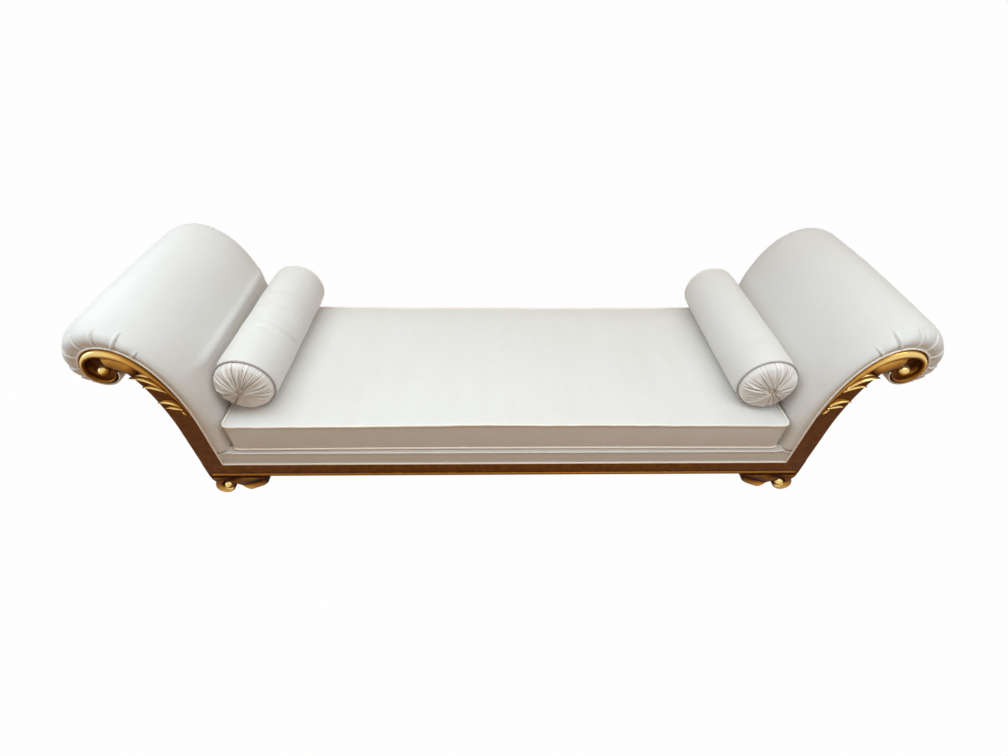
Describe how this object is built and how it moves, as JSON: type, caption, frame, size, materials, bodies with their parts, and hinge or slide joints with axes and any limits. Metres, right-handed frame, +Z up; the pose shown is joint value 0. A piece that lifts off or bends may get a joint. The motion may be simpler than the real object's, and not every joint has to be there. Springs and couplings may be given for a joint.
{
  "type": "recamier",
  "caption": "Long backless settee with out-scrolled upholstered arms, carved gilded front and back, a loose seat cushion and loose bolsters with gathered ends.",
  "frame": {"origin": "on the floor, midway between the arms and between the front and back faces", "axes": "+X along the seat to the sitter's left, +Y from the front to the back, +Z up"},
  "size_m": [2.513, 0.706, 0.7285],
  "materials": {
    "show_gilt": "antique gilt over a dark bole, rubbed on the bead",
    "stile_gilt": "antique gilt, dark on the flat and bright on the volute",
    "leaf_gilt": "carved, bright antique gilt with dark recesses",
    "foot_gilt": "carved, antique gilt with dark recesses",
    "glide": "satin black nylon",
    "bolt_steel": "zinc plated",
    "beech": "sawn beech",
    "screw_steel": "zinc plated",
    "spring_steel": "oil tempered wire",
    "clip_steel": "zinc plated",
    "jute": "open jute weave",
    "cotton_pad": "cotton felt",
    "deck_cloth": "plain woven decking",
    "dust_cloth": "black spun cloth",
    "silk": "ivory silk satin with a soft sheen",
    "piping": "cream corded piping",
    "arm_foam": "cut foam",
    "cushion_foam": "cut foam",
    "bolster_fill": "feather and fibre filling",
    "zip_tape": "woven tape",
    "slider_brass": "dull brass"
  },
  "bodies": {
    "frame": {"front_show_rail": "show_gilt", "back_show_rail": "show_gilt", "front_left_stile": "stile_gilt", "front_right_stile": "stile_gilt", "back_left_stile": "stile_gilt", "back_right_stile": "stile_gilt", "front_left_leaf": "leaf_gilt", "front_right_leaf": "leaf_gilt", "back_left_leaf": "leaf_gilt", "back_right_leaf": "leaf_gilt", "front_left_foot": "foot_gilt", "front_right_foot": "foot_gilt", "back_left_foot": "foot_gilt", "back_right_foot": "foot_gilt", "foot_glides": "glide", "foot_bolts": "bolt_steel", "front_seat_rail": "beech", "back_seat_rail": "beech", "left_end_rail": "beech", "right_end_rail": "beech", "left_stretcher": "beech", "right_stretcher": "beech", "corner_blocks": "beech", "left_arm_top_rail": "beech", "right_arm_top_rail": "beech", "frame_screws": "screw_steel", "zigzag_springs": "spring_steel", "spring_clips": "clip_steel", "seat_hessian": "jute", "arm_webbing": "jute", "seat_pad": "cotton_pad", "seat_deck": "deck_cloth", "dust_cover": "dust_cloth", "front_band": "silk", "back_band": "silk", "left_arm_cover": "silk", "right_arm_cover": "silk", "left_outside_arm": "silk", "right_outside_arm": "silk", "front_welt": "piping", "back_welt": "piping", "left_arm_foam": "arm_foam", "right_arm_foam": "arm_foam"},
    "cushion": {"cushion_cover": "silk", "cushion_core": "cushion_foam", "cushion_top_welt": "piping", "cushion_bottom_welt": "piping", "cushion_zip": "zip_tape"},
    "zip_pull": {"zip_slider": "slider_brass"},
    "left_bolster": {"left_bolster_cover": "silk", "left_bolster_core": "bolster_fill", "left_bolster_ends": "silk", "left_bolster_welts": "piping", "left_bolster_buttons": "silk"},
    "right_bolster": {"right_bolster_cover": "silk", "right_bolster_core": "bolster_fill", "right_bolster_ends": "silk", "right_bolster_welts": "piping", "right_bolster_buttons": "silk"}
  },
  "joints": [
    {"name": "cushion_lift", "type": "slide", "parent": "frame", "child": "cushion", "axis": [0, 0, 1], "range_m": [0, 0.35]},
    {"name": "zip_run", "type": "slide", "parent": "cushion", "child": "zip_pull", "axis": [-1, 0, 0], "range_m": [0, 1.36]},
    {"name": "left_bolster_lift", "type": "slide", "parent": "cushion", "child": "left_bolster", "axis": [0, 0, 1], "range_m": [0, 0.3]},
    {"name": "right_bolster_lift", "type": "slide", "parent": "cushion", "child": "right_bolster", "axis": [0, 0, 1], "range_m": [0, 0.3]}
  ]
}
